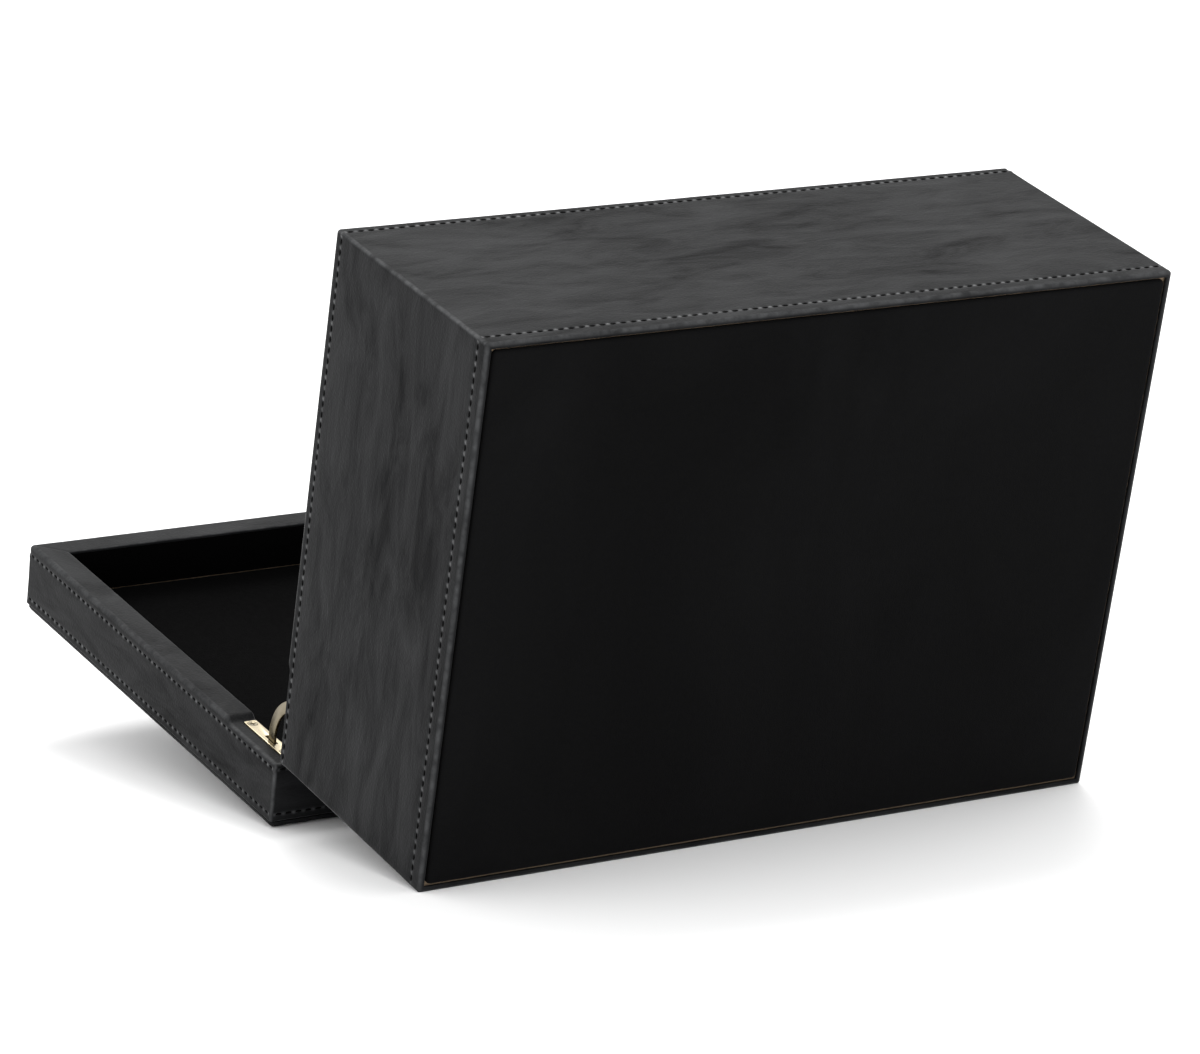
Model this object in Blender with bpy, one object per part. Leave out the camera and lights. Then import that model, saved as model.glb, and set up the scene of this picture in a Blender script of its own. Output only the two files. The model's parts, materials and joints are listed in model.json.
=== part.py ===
"""A leather-covered jewellery box with a hinged lid, velvet inside and under its base.

The box stands open and tipped back, on the back edge of its lid and the back edge of its base.
Every piece is drawn in the shut box's own frame: X across, Y from the front (minus) to the back
face (zero), Z up from the plane where the lid shuts. That frame's X axis is the hinges' axis.
Parent empties on that axis then turn the body and the lid into the standing pose.
"""

import math

import bmesh
import bpy
from mathutils import Vector

# The box: overall sizes, in metres.
WIDTH = 0.3000
DEPTH = 0.2178
BODY_HEIGHT = 0.1124
LID_HEIGHT = 0.0306
OPEN_ANGLE = math.radians(91.8)

# Gaps.
SHUT_GAP = 0.0005
FIT = 0.0003

# Covering and boards.
LEATHER = 0.0012
SIDE_BOARD = 0.0094
LINING = 0.0010
CORNER_RADIUS = 0.0024
RIM_RADIUS = 0.0021
BASE_RADIUS = 0.0024
CORNER_STEPS = 4
SMALLEST_RADIUS = 0.0002

# Base.
BASE_LIP = 0.0024
BASE_PAD_PROUD = 0.0003
BASE_PAD = 0.0022
BASE_PAD_RADIUS = 0.0010
BOTTOM_BOARD = 0.0045
FLOOR_PAD = 0.0020

# Lid.
LID_SEAM_BELOW_TOP = 0.0038
LID_ROLL_RADIUS = 0.0052
LID_FOAM = 0.0025
LID_TOP_BOARD = 0.0044
LID_FLOOR_DEPTH = 0.0194
LID_ROLL_STEPS = 5

# Dividers and ring rolls.
DIVIDER = 0.0040
DIVIDER_HEIGHT = 0.0680
RING_BED_HEIGHT = 0.0520
RING_ROLLS = 6
RING_ROLL_GAP = 0.0006
RING_ROLL_STEPS = 28

# Hinges: the leaf lies LEAF_STRIP outside the rim's inner edge.
RECESS_LENGTH = 0.0400
RECESS_DEPTH = 0.0020
RECESS_EXTRA_WIDTH = 0.0008
LEAF_STRIP = 0.0007
LEAF_WIDTH = 0.0054
LEAF_LENGTH = 0.0380
LEAF_TOP = 0.0018
LEAF_THICKNESS = 0.0014
LEAF_BACK_END = 0.0022
LEAF_POCKET_FIT = 0.0002
LEAF_TIP_RADIUS = 0.0008
KNUCKLE_RADIUS = 0.0017
KNUCKLE_WEB = 0.0025
KNUCKLE_SPLIT = 0.0004
PIN_RADIUS = 0.0008
PIN_CLEARANCE = 0.00008
PIN_STEPS = 24
ARM_THICKNESS = 0.0012
ARM_INNER_RADIUS = 0.0170
ARM_OUTER_RADIUS = 0.0214
ARM_NIB_RADIUS = 0.0252
ARM_NIB_START = math.radians(8.6)
ARM_NIB_END = math.radians(13.6)
ARM_STEPS = 36
ARM_RATIO = 0.5
SLOT_FRONT_FIT = 0.0026
SLOT_BACK_FIT = 0.0012
SCREW_HEAD_RADIUS = 0.0020
SCREW_SHANK_RADIUS = 0.0011
SCREW_LENGTH = 0.0100
SCREW_TIP = 0.0020
SCREW_TIP_RADIUS = 0.0003
SCREW_HOLE_FIT = 0.0002
SCREW_STEPS = 20
SCREW_CROSS_WIDTH = 0.0005
SCREW_CROSS_LENGTH = 0.0024
SCREW_CROSS_DEPTH = 0.0007
SCREW_PLACES = (0.0090, 0.0354)

# What follows from the sizes above.
OVERCUT = 0.0010
COVER = LEATHER + FIT
WALL = COVER + SIDE_BOARD
RIM_WIDTH = WALL + FIT + LINING
LEAF_CENTRE = RIM_WIDTH - LEAF_STRIP - LEAF_WIDTH / 2
RIM_LEVEL = SHUT_GAP / 2
BODY_CORE_BASE = -BODY_HEIGHT + BASE_PAD + FIT
BODY_FLOOR = BODY_CORE_BASE + BOTTOM_BOARD + FIT + FLOOR_PAD
LID_SEAM = LID_HEIGHT - LID_SEAM_BELOW_TOP
LID_CORE_TOP = LID_SEAM - FIT - FIT / 2
LID_FLOOR = RIM_LEVEL + LID_FLOOR_DEPTH
MORTISE_DEPTH = ARM_NIB_RADIUS * math.sin(ARM_NIB_END + ARM_RATIO * OPEN_ANGLE) + 2 * OVERCUT

# Looks: colour, roughness, metallic.
BLACK_LEATHER = ((0.034, 0.036, 0.040), 0.52, 0.0)
BLACK_VELVET = ((0.010, 0.010, 0.011), 0.95, 0.0)
FIBREBOARD = ((0.36, 0.26, 0.17), 0.85, 0.0)
GREY_FOAM = ((0.30, 0.30, 0.31), 0.95, 0.0)
OLD_BRASS = ((0.62, 0.49, 0.27), 0.32, 1.0)


def clear_scene():
    """Empty the scene, so that only the box is in it."""
    for item in list(bpy.data.objects):
        bpy.data.objects.remove(item, do_unlink=True)


def add_empty(name, parent=None, turn=0.0):
    """Add a frame on the hinge axis, turned about X."""
    empty = bpy.data.objects.new(name, None)
    bpy.context.scene.collection.objects.link(empty)
    empty.parent = parent
    empty.rotation_euler = (turn, 0.0, 0.0)
    return empty


def add_object(name, mesh, look, parent):
    """Put a mesh in the scene as one named piece with a material of its own."""
    colour, roughness, metallic = look
    material = bpy.data.materials.new(name + "_material")
    material.use_nodes = True
    shader = material.node_tree.nodes["Principled BSDF"]
    shader.inputs["Base Color"].default_value = (*colour, 1.0)
    shader.inputs["Roughness"].default_value = roughness
    shader.inputs["Metallic"].default_value = metallic
    piece = bpy.data.objects.new(name, mesh)
    bpy.context.scene.collection.objects.link(piece)
    mesh.materials.clear()
    mesh.materials.append(material)
    piece.parent = parent
    return piece


def mesh_from(bm):
    """Finish a bmesh as a mesh whose faces point outwards."""
    bmesh.ops.recalc_face_normals(bm, faces=bm.faces)
    mesh = bpy.data.meshes.new("shape")
    bm.to_mesh(mesh)
    bm.free()
    return mesh


def cuboid(low, high):
    """Return a bmesh of a cuboid between two corners, given in any order."""
    low, high = Vector(low), Vector(high)
    size = Vector(abs(b - a) for a, b in zip(low, high))
    bm = bmesh.new()
    bmesh.ops.create_cube(bm, size=1.0)
    bmesh.ops.scale(bm, vec=size, verts=bm.verts)
    bmesh.ops.translate(bm, vec=(low + high) / 2, verts=bm.verts)
    return bm


def cuboid_mesh(low, high):
    """Return the mesh of a cuboid between two corners."""
    return mesh_from(cuboid(low, high))


def skin_loops(loops):
    """Return a bmesh that joins closed loops of points one after another, with flat ends."""
    bm = bmesh.new()
    rings = [[bm.verts.new(point) for point in loop] for loop in loops]
    for lower, upper in zip(rings, rings[1:]):
        count = len(lower)
        for k in range(count):
            following = (k + 1) % count
            bm.faces.new((lower[k], lower[following], upper[following], upper[k]))
    bm.faces.new(rings[0])
    bm.faces.new(rings[-1])
    return bm


def plan_loop(inset, radius, z):
    """Return the box's plan, set in all round, as a rounded rectangle at one height."""
    radius = max(radius, SMALLEST_RADIUS)
    half = WIDTH / 2 - inset - radius
    back = -inset - radius
    front = -DEPTH + inset + radius
    centres = ((half, back), (-half, back), (-half, front), (half, front))
    points = []
    for quarter, (x, y) in enumerate(centres):
        for k in range(CORNER_STEPS + 1):
            angle = math.pi / 2 * (quarter + k / CORNER_STEPS)
            points.append((x + radius * math.cos(angle), y + radius * math.sin(angle), z))
    return points


def rounding(radius_in, radius_up, steps):
    """Return (inset, rise) pairs of a quarter round, from its flat end to its upright end."""
    pairs = []
    for k in range(steps + 1):
        angle = math.pi / 2 * k / steps
        pairs.append((radius_in * (1 - math.sin(angle)), radius_up * (1 - math.cos(angle))))
    return pairs


def plan_solid(levels):
    """Return a solid of the box's plan through (inset, height) levels."""
    return mesh_from(skin_loops([plan_loop(inset, CORNER_RADIUS - inset, z) for inset, z in levels]))


def across_cylinder(x_from, x_to, radius, steps):
    """Return the mesh of a cylinder on the hinge axis."""
    loops = []
    for x in (x_from, x_to):
        turns = (2 * math.pi * k / steps for k in range(steps))
        loops.append([(x, radius * math.cos(a), radius * math.sin(a)) for a in turns])
    return mesh_from(skin_loops(loops))


def upright_turning(x, y, levels, steps):
    """Return a turned solid with an upright axis through (radius, height) levels."""
    loops = []
    for radius, z in levels:
        turns = (2 * math.pi * k / steps for k in range(steps))
        loops.append([(x + radius * math.cos(a), y + radius * math.sin(a), z) for a in turns])
    return mesh_from(skin_loops(loops))


def combine(mesh, others, operation="DIFFERENCE"):
    """Cut the other meshes from a mesh, or join or intersect them, and return the result."""
    base = bpy.data.objects.new("base", mesh)
    bpy.context.scene.collection.objects.link(base)
    tools = []
    for other in others:
        tool = bpy.data.objects.new("tool", other)
        bpy.context.scene.collection.objects.link(tool)
        tool.hide_render = True
        tool.display_type = "WIRE"
        step = base.modifiers.new("step", "BOOLEAN")
        step.operation = operation
        step.solver = "EXACT"
        step.object = tool
        tools.append(tool)
    evaluated = base.evaluated_get(bpy.context.evaluated_depsgraph_get())
    result = bpy.data.meshes.new_from_object(evaluated)
    for item in (base, *tools):
        bpy.data.objects.remove(item, do_unlink=True)
    return result


def side_cuboid(side, near, far, y_range, z_range):
    """Return a cuboid given by its distances inwards from one side face."""
    return cuboid_mesh(
        (side * (WIDTH / 2 - near), y_range[0], z_range[0]),
        (side * (WIDTH / 2 - far), y_range[1], z_range[1]),
    )


def recess(side, up, extra):
    """Return the cutter for the lowered stretch of rim that a hinge lies in.

    up is -1 for the body and +1 for the lid. extra widens and deepens it, for what lies
    under the leather.
    """
    depth = RIM_LEVEL + RECESS_DEPTH + extra
    return side_cuboid(
        side,
        -OVERCUT,
        RIM_WIDTH + RECESS_EXTRA_WIDTH + extra,
        (-RECESS_LENGTH - extra, OVERCUT),
        (up * depth, -up * OVERCUT),
    )


def leaf_pocket(side, up):
    """Return the cutter for the pocket through the leather that a hinge leaf is let into."""
    half = LEAF_WIDTH / 2 + LEAF_POCKET_FIT
    depth = RIM_LEVEL + RECESS_DEPTH + LEATHER + FIT / 2
    return side_cuboid(
        side,
        LEAF_CENTRE - half,
        LEAF_CENTRE + half,
        (-LEAF_LENGTH - LEAF_POCKET_FIT, OVERCUT),
        (up * depth, -up * OVERCUT),
    )


def mortise(side, up):
    """Return the cutter for the slot in a side board that the curved arm slides in."""
    half = ARM_THICKNESS / 2 + FIT
    inner = ARM_INNER_RADIUS * math.cos(ARM_NIB_END + ARM_RATIO * OPEN_ANGLE) - 2 * OVERCUT
    return side_cuboid(
        side,
        LEAF_CENTRE - half,
        LEAF_CENTRE + half,
        (-ARM_NIB_RADIUS - OVERCUT / 2, -inner),
        (up * MORTISE_DEPTH, 0.0),
    )


def screw_hole(side, up, place):
    """Return the cutter for one screw's hole in a side board."""
    x = side * (WIDTH / 2 - LEAF_CENTRE)
    radius = SCREW_SHANK_RADIUS + SCREW_HOLE_FIT
    levels = ((radius, 0.0), (radius, up * (LEAF_TOP + SCREW_LENGTH + OVERCUT)))
    return upright_turning(x, -place, levels, SCREW_STEPS)


def sides_cut(make, *arguments):
    """Return one cutter for the left and one for the right."""
    return [make(side, *arguments) for side in (-1, 1)]


def wall_wedge(wall):
    """Return the plan wedge between two mitres that one wall's leather lies in."""
    reach = max(WIDTH, DEPTH)
    slack = FIT / 2 * math.sqrt(2)
    corner = RIM_WIDTH * 2
    half = WIDTH / 2
    if wall in ("left", "right"):
        side = -1 if wall == "left" else 1
        near = side * (half + OVERCUT)
        far = side * (half - corner)
        plan = (
            (near, OVERCUT - slack),
            (near, -DEPTH - OVERCUT + slack),
            (far, -DEPTH + corner + slack),
            (far, -corner - slack),
        )
    else:
        face = 0.0 if wall == "back" else -DEPTH
        inward = -1 if wall == "back" else 1
        near = face - inward * OVERCUT
        far = face + inward * corner
        plan = (
            (-half - OVERCUT + slack, near),
            (half + OVERCUT - slack, near),
            (half - corner - slack, far),
            (-half + corner + slack, far),
        )
    return mesh_from(skin_loops([[(x, y, z) for x, y in plan] for z in (-reach, reach)]))


def add_leather_walls(prefix, cover, parent):
    """Cut a covering into its four panels, mitred at the corners."""
    for wall in ("left", "right", "front", "back"):
        panel = combine(cover.copy(), [wall_wedge(wall)], "INTERSECT")
        add_object(f"{prefix}_leather_{wall}", panel, BLACK_LEATHER, parent)


def inner_plan(inset, z_from, z_to):
    """Return a cuboid of the box's plan set in all round."""
    half = WIDTH / 2 - inset
    return cuboid_mesh((-half, -DEPTH + inset, z_from), (half, -inset, z_to))


def add_boards(prefix, up, z_from, z_to, parent):
    """Add four wall boards: the sides run right through, the front and back fit between."""
    for side, wall in ((-1, "left"), (1, "right")):
        board = side_cuboid(side, COVER, WALL, (-DEPTH + COVER, -COVER), (z_from, z_to))
        cutters = [recess(side, up, COVER), mortise(side, up)]
        cutters += [screw_hole(side, up, place) for place in SCREW_PLACES]
        add_object(f"{prefix}_board_{wall}", combine(board, cutters), FIBREBOARD, parent)
    half = WIDTH / 2 - WALL - FIT
    front = cuboid_mesh((-half, -DEPTH + COVER, z_from), (half, -DEPTH + WALL, z_to))
    add_object(f"{prefix}_board_front", front, FIBREBOARD, parent)
    back = cuboid_mesh((-half, -WALL, z_from), (half, -COVER, z_to))
    back = combine(back, sides_cut(recess, up, COVER))
    add_object(f"{prefix}_board_back", back, FIBREBOARD, parent)


def add_linings(prefix, up, z_from, z_to, parent):
    """Add four velvet-covered lining cards, the front and back ones between the side ones."""
    outer = WALL + FIT
    for side, wall in ((-1, "left"), (1, "right")):
        card = side_cuboid(side, outer, RIM_WIDTH, (-DEPTH + outer, -outer), (z_from, z_to))
        card = combine(card, [recess(side, up, COVER)])
        add_object(f"{prefix}_lining_{wall}", card, BLACK_VELVET, parent)
    half = WIDTH / 2 - RIM_WIDTH - FIT
    front = cuboid_mesh((-half, -DEPTH + outer, z_from), (half, -DEPTH + RIM_WIDTH, z_to))
    add_object(f"{prefix}_lining_front", front, BLACK_VELVET, parent)
    back = cuboid_mesh((-half, -RIM_WIDTH, z_from), (half, -outer, z_to))
    back = combine(back, sides_cut(recess, up, COVER))
    add_object(f"{prefix}_lining_back", back, BLACK_VELVET, parent)


def rim_cutters(up):
    """Return what both coverings lose at the rim: the opening, the recesses and the pockets."""
    window = inner_plan(RIM_WIDTH, up * (LEATHER + RIM_LEVEL + OVERCUT), -up * OVERCUT)
    return [window] + sides_cut(recess, up, 0.0) + sides_cut(leaf_pocket, up)


def body_levels():
    """Return the body's outer form as (inset, height) levels from base to rim."""
    foot = -BODY_HEIGHT + BASE_PAD_PROUD
    levels = [(inset, foot + rise) for inset, rise in rounding(BASE_RADIUS, BASE_RADIUS, CORNER_STEPS)]
    top = rounding(RIM_RADIUS, RIM_RADIUS, CORNER_STEPS)
    levels += [(inset, -RIM_LEVEL - drop) for inset, drop in reversed(top)]
    return levels


def lid_top_levels():
    """Return the rolled lid top's outer form as (inset, height) levels from seam to top."""
    thickness = LID_SEAM_BELOW_TOP - FIT / 2
    first = math.asin(1 - thickness / LID_ROLL_RADIUS)
    levels = []
    for k in range(LID_ROLL_STEPS + 1):
        angle = first + (math.pi / 2 - first) * k / LID_ROLL_STEPS
        inset = LID_ROLL_RADIUS * (1 - math.cos(angle))
        levels.append((inset, LID_HEIGHT - LID_ROLL_RADIUS * (1 - math.sin(angle))))
    return levels


def add_body_shell(parent):
    """Add the body's covering, boards, base pad and linings."""
    core_top = -RIM_LEVEL - LEATHER
    foot = -BODY_HEIGHT + BASE_PAD_PROUD
    core = inner_plan(LEATHER, foot + LEATHER, core_top)
    core = combine(core, sides_cut(recess, -1, LEATHER))
    base_window = inner_plan(BASE_LIP, foot - OVERCUT, foot + LEATHER + OVERCUT)
    cover = combine(plan_solid(body_levels()), [core, base_window] + rim_cutters(-1))
    add_leather_walls("body", cover, parent)

    board_top = -RIM_LEVEL - COVER
    add_boards("body", -1, BODY_CORE_BASE, board_top, parent)
    bottom = inner_plan(WALL + FIT, BODY_CORE_BASE, BODY_CORE_BASE + BOTTOM_BOARD)
    add_object("body_bottom_board", bottom, FIBREBOARD, parent)

    pad_inset = BASE_LIP + FIT
    pad_levels = [
        (pad_inset + inset, -BODY_HEIGHT + rise)
        for inset, rise in rounding(BASE_PAD_RADIUS, BASE_PAD_RADIUS, CORNER_STEPS)
    ]
    pad_levels.append((pad_inset, -BODY_HEIGHT + BASE_PAD))
    add_object("base_pad", plan_solid(pad_levels), BLACK_VELVET, parent)

    floor = inner_plan(WALL + FIT, BODY_FLOOR - FLOOR_PAD, BODY_FLOOR)
    add_object("body_floor_pad", floor, BLACK_VELVET, parent)
    add_linings("body", -1, BODY_FLOOR + FIT, board_top, parent)


def add_dividers(parent):
    """Add two crossed dividers, half-lapped where they meet."""
    base = BODY_FLOOR + FIT
    top = base + DIVIDER_HEIGHT
    lap = base + DIVIDER_HEIGHT / 2
    notch = DIVIDER / 2 + FIT
    inset = RIM_WIDTH + FIT
    middle = -DEPTH / 2
    half = WIDTH / 2 - inset
    long_one = cuboid_mesh((-half, middle - DIVIDER / 2, base), (half, middle + DIVIDER / 2, top))
    upper = cuboid_mesh(
        (-notch, middle - DIVIDER, lap - FIT / 2),
        (notch, middle + DIVIDER, top + OVERCUT),
    )
    add_object("divider_long", combine(long_one, [upper]), BLACK_VELVET, parent)
    cross = cuboid_mesh((-DIVIDER / 2, -DEPTH + inset, base), (DIVIDER / 2, -inset, top))
    lower = cuboid_mesh(
        (-DIVIDER, middle - notch, base - OVERCUT),
        (DIVIDER, middle + notch, lap + FIT / 2),
    )
    add_object("divider_cross", combine(cross, [lower]), BLACK_VELVET, parent)


def add_ring_rolls(parent):
    """Fill the front left compartment with a foam bed and a row of ring rolls."""
    clear = RIM_WIDTH + FIT * 2
    base = BODY_FLOOR + FIT
    x_from = -WIDTH / 2 + clear
    x_to = -DIVIDER / 2 - FIT
    y_from = -DEPTH + clear
    y_to = -DEPTH / 2 - DIVIDER / 2 - FIT
    top = base + RING_BED_HEIGHT
    add_object(
        "ring_bed", cuboid_mesh((x_from, y_from, base), (x_to, y_to, top)), GREY_FOAM, parent
    )
    pitch = (y_to - y_from) / RING_ROLLS
    radius = (pitch - RING_ROLL_GAP) / 2
    for k in range(RING_ROLLS):
        loops = []
        y = y_from + pitch * (k + 0.5)
        z = top + FIT + radius
        for x in (x_from, x_to):
            turns = (2 * math.pi * step / RING_ROLL_STEPS for step in range(RING_ROLL_STEPS))
            loops.append([(x, y + radius * math.cos(a), z + radius * math.sin(a)) for a in turns])
        roll = mesh_from(skin_loops(loops))
        add_object(f"ring_roll_{k + 1}", roll, BLACK_VELVET, parent)


def add_lid_shell(parent):
    """Add the lid's covering, boards, rolled top and linings."""
    seam = LID_SEAM - FIT / 2
    rim = rounding(RIM_RADIUS, RIM_RADIUS, CORNER_STEPS)
    levels = [(inset, RIM_LEVEL + rise) for inset, rise in rim]
    levels.append((0.0, seam))
    core = inner_plan(LEATHER, RIM_LEVEL + LEATHER, seam + OVERCUT)
    core = combine(core, sides_cut(recess, 1, LEATHER))
    cover = combine(plan_solid(levels), [core] + rim_cutters(1))
    add_leather_walls("lid", cover, parent)

    add_boards("lid", 1, RIM_LEVEL + COVER, LID_CORE_TOP, parent)
    top_board = inner_plan(WALL + FIT, LID_CORE_TOP - LID_TOP_BOARD, LID_CORE_TOP)
    add_object("lid_top_board", top_board, FIBREBOARD, parent)

    foam_base = LID_CORE_TOP + FIT
    foam_top = foam_base + LID_FOAM
    hollow_top = LID_HEIGHT - LEATHER
    slope = LID_ROLL_RADIUS / 3
    hollow = plan_solid(((COVER, seam - OVERCUT), (COVER, seam + FIT), (COVER + slope, hollow_top)))
    top_cover = combine(plan_solid(lid_top_levels()), [hollow])
    add_object("lid_top_leather", top_cover, BLACK_LEATHER, parent)
    foam_inset = COVER + FIT
    foam = plan_solid(((foam_inset, foam_base), (foam_inset, seam), (foam_inset + slope, foam_top)))
    add_object("lid_top_foam", foam, GREY_FOAM, parent)

    pad_top = LID_CORE_TOP - LID_TOP_BOARD - FIT
    floor = inner_plan(WALL + FIT, LID_FLOOR, pad_top)
    add_object("lid_floor_pad", floor, BLACK_VELVET, parent)
    add_linings("lid", 1, RIM_LEVEL + COVER, LID_FLOOR - FIT, parent)


def knuckle_span(side, up):
    """Return the X range of one leaf's knuckle: the body's is the outer half of the barrel."""
    outer = LEAF_CENTRE - LEAF_WIDTH / 2
    inner = LEAF_CENTRE + LEAF_WIDTH / 2
    if up < 0:
        near, far = outer, LEAF_CENTRE - KNUCKLE_SPLIT / 2
    else:
        near, far = LEAF_CENTRE + KNUCKLE_SPLIT / 2, inner
    return side * (WIDTH / 2 - near), side * (WIDTH / 2 - far)


def add_leaf(name, side, up, parent):
    """Add a hinge leaf: a plate with a knuckle, a slot for the arm and two countersinks."""
    low = up * (LEAF_TOP + LEAF_THICKNESS)
    top = up * LEAF_TOP
    half = LEAF_WIDTH / 2
    x_middle = side * (WIDTH / 2 - LEAF_CENTRE)
    plate = cuboid((x_middle - half, -LEAF_LENGTH, low), (x_middle + half, -LEAF_BACK_END, top))
    tips = [
        edge
        for edge in plate.edges
        if all(vert.co.y < -LEAF_LENGTH / 2 for vert in edge.verts)
        and abs(edge.verts[0].co.z - edge.verts[1].co.z) > LEAF_THICKNESS / 2
    ]
    bmesh.ops.bevel(
        plate, geom=tips, offset=LEAF_TIP_RADIUS, segments=3, profile=0.5, affect="EDGES", material=-1
    )
    plate = mesh_from(plate)
    x_from, x_to = knuckle_span(side, up)
    web = cuboid_mesh((x_from, -KNUCKLE_WEB, low), (x_to, -KNUCKLE_RADIUS / 4, up * KNUCKLE_RADIUS / 2))
    barrel = across_cylinder(x_from, x_to, KNUCKLE_RADIUS, PIN_STEPS)
    leaf = combine(plate, [web, barrel], "UNION")

    arm_half = ARM_THICKNESS / 2 + FIT
    cutters = [
        across_cylinder(x_from - OVERCUT, x_from + OVERCUT * 5, PIN_RADIUS + PIN_CLEARANCE, PIN_STEPS)
        if x_to > x_from
        else across_cylinder(x_to - OVERCUT, x_to + OVERCUT * 5, PIN_RADIUS + PIN_CLEARANCE, PIN_STEPS),
        cuboid_mesh(
            (x_middle - arm_half, -ARM_OUTER_RADIUS - SLOT_FRONT_FIT, low + up * OVERCUT),
            (x_middle + arm_half, -ARM_INNER_RADIUS + SLOT_BACK_FIT, top - up * OVERCUT),
        ),
    ]
    for place in SCREW_PLACES:
        head = SCREW_HEAD_RADIUS + SCREW_HOLE_FIT
        shank = SCREW_SHANK_RADIUS + SCREW_HOLE_FIT
        sink = SCREW_HEAD_RADIUS - SCREW_SHANK_RADIUS
        levels = (
            (head, top - up * OVERCUT),
            (head, top),
            (shank, top + up * sink),
            (shank, low + up * OVERCUT),
        )
        cutters.append(upright_turning(x_middle, -place, levels, SCREW_STEPS))
    add_object(name, combine(leaf, cutters), OLD_BRASS, parent)


def add_screw(name, side, up, place, parent):
    """Add a countersunk cross-head screw."""
    x = side * (WIDTH / 2 - LEAF_CENTRE)
    top = up * LEAF_TOP
    sink = SCREW_HEAD_RADIUS - SCREW_SHANK_RADIUS
    levels = (
        (SCREW_HEAD_RADIUS, top),
        (SCREW_SHANK_RADIUS, top + up * sink),
        (SCREW_SHANK_RADIUS, top + up * (SCREW_LENGTH - SCREW_TIP)),
        (SCREW_TIP_RADIUS, top + up * SCREW_LENGTH),
    )
    screw = upright_turning(x, -place, levels, SCREW_STEPS)
    wide = SCREW_CROSS_LENGTH / 2
    thin = SCREW_CROSS_WIDTH / 2
    z_range = (top - up * OVERCUT, top + up * SCREW_CROSS_DEPTH)
    cross = [
        cuboid_mesh((x - a, -place - b, z_range[0]), (x + a, -place + b, z_range[1]))
        for a, b in ((wide, thin), (thin, wide))
    ]
    add_object(name, combine(screw, cross), OLD_BRASS, parent)


def add_arm(name, side, parent):
    """Add the curved arm that stops the lid, with a nib at each end to catch its leaf."""
    first = -ARM_NIB_END
    last = OPEN_ANGLE + ARM_NIB_END
    outline = []
    for k in range(ARM_STEPS + 1):
        angle = first + (last - first) * k / ARM_STEPS
        outline.append((ARM_INNER_RADIUS, angle))
    outline.append((ARM_NIB_RADIUS, last))
    outline.append((ARM_NIB_RADIUS, OPEN_ANGLE + ARM_NIB_START))
    for k in range(ARM_STEPS + 1):
        angle = OPEN_ANGLE + ARM_NIB_START - (OPEN_ANGLE + 2 * ARM_NIB_START) * k / ARM_STEPS
        outline.append((ARM_OUTER_RADIUS, angle))
    outline.append((ARM_NIB_RADIUS, -ARM_NIB_START))
    outline.append((ARM_NIB_RADIUS, first))
    x_middle = side * (WIDTH / 2 - LEAF_CENTRE)
    loops = [
        [(x, -radius * math.cos(angle), radius * math.sin(angle)) for radius, angle in outline]
        for x in (x_middle - ARM_THICKNESS / 2, x_middle + ARM_THICKNESS / 2)
    ]
    add_object(name, mesh_from(skin_loops(loops)), OLD_BRASS, parent)


def add_hinges(body, lid, arms):
    """Add both hinges: two leaves, a pin, an arm and four screws each."""
    for side, word in ((-1, "left"), (1, "right")):
        add_leaf(f"hinge_leaf_body_{word}", side, -1, body)
        add_leaf(f"hinge_leaf_lid_{word}", side, 1, lid)
        near = side * (WIDTH / 2 - LEAF_CENTRE + LEAF_WIDTH / 2)
        far = side * (WIDTH / 2 - LEAF_CENTRE - LEAF_WIDTH / 2)
        pin = across_cylinder(near, far, PIN_RADIUS, PIN_STEPS)
        add_object(f"hinge_pin_{word}", pin, OLD_BRASS, body)
        add_arm(f"hinge_arm_{word}", side, arms[word])
        for number, place in enumerate(SCREW_PLACES, start=1):
            add_screw(f"screw_body_{word}_{number}", side, -1, place, body)
            add_screw(f"screw_lid_{word}_{number}", side, 1, place, lid)


def lowest(levels, angle):
    """Return how low the back edge of an outer form reaches once turned about the hinge axis."""
    return min(-inset * math.sin(angle) + z * math.cos(angle) for inset, z in levels)


def standing_angle():
    """Return the body's turn at which the lid's and the body's back edges lie level."""
    low, high = math.radians(-89.0), math.radians(-46.0)

    def difference(angle):
        return lowest(body_levels(), angle) - lowest(lid_top_levels(), angle - OPEN_ANGLE)

    for _ in range(60):
        middle = (low + high) / 2
        if difference(middle) * difference(low) > 0:
            low = middle
        else:
            high = middle
    return (low + high) / 2


def stand_on_floor(root):
    """Move everything so that the box stands on Z = 0 and is centred over the origin."""
    bpy.context.view_layer.update()
    points = []
    for piece in bpy.context.scene.objects:
        if piece.type == "MESH":
            points += [piece.matrix_world @ vert.co for vert in piece.data.vertices]
    for axis in (0, 1):
        values = [point[axis] for point in points]
        root.location[axis] -= (min(values) + max(values)) / 2
    root.location.z -= min(point.z for point in points)


def main():
    """Build the whole box."""
    clear_scene()
    turn = standing_angle()
    root = add_empty("box_frame")
    body = add_empty("body_frame", root, turn)
    lid = add_empty("lid_frame", root, turn - OPEN_ANGLE)
    arms = {word: add_empty(f"arm_{word}_frame", root, turn) for word in ("left", "right")}
    add_body_shell(body)
    add_dividers(body)
    add_ring_rolls(body)
    add_lid_shell(lid)
    add_hinges(body, lid, arms)
    for piece in bpy.context.scene.objects:
        if piece.type == "MESH" and piece.name.startswith(("ring_roll", "hinge_pin", "screw")):
            piece.data.shade_smooth()
            piece.data.set_sharp_from_angle(angle=math.radians(35))
    stand_on_floor(root)


main()
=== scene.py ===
"""Dresses the frame of a jewellery box in stitched leather, velvet and brass, on a pale floor.

The box stands open and tipped back. Each piece is drawn in the shut box's own frame: X across,
Y from the front (minus) to the back face (zero), Z up from the plane where the lid shuts. Two
matrices, one for the body and one for the lid, then stand the pieces where the frame stands.
"""

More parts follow.
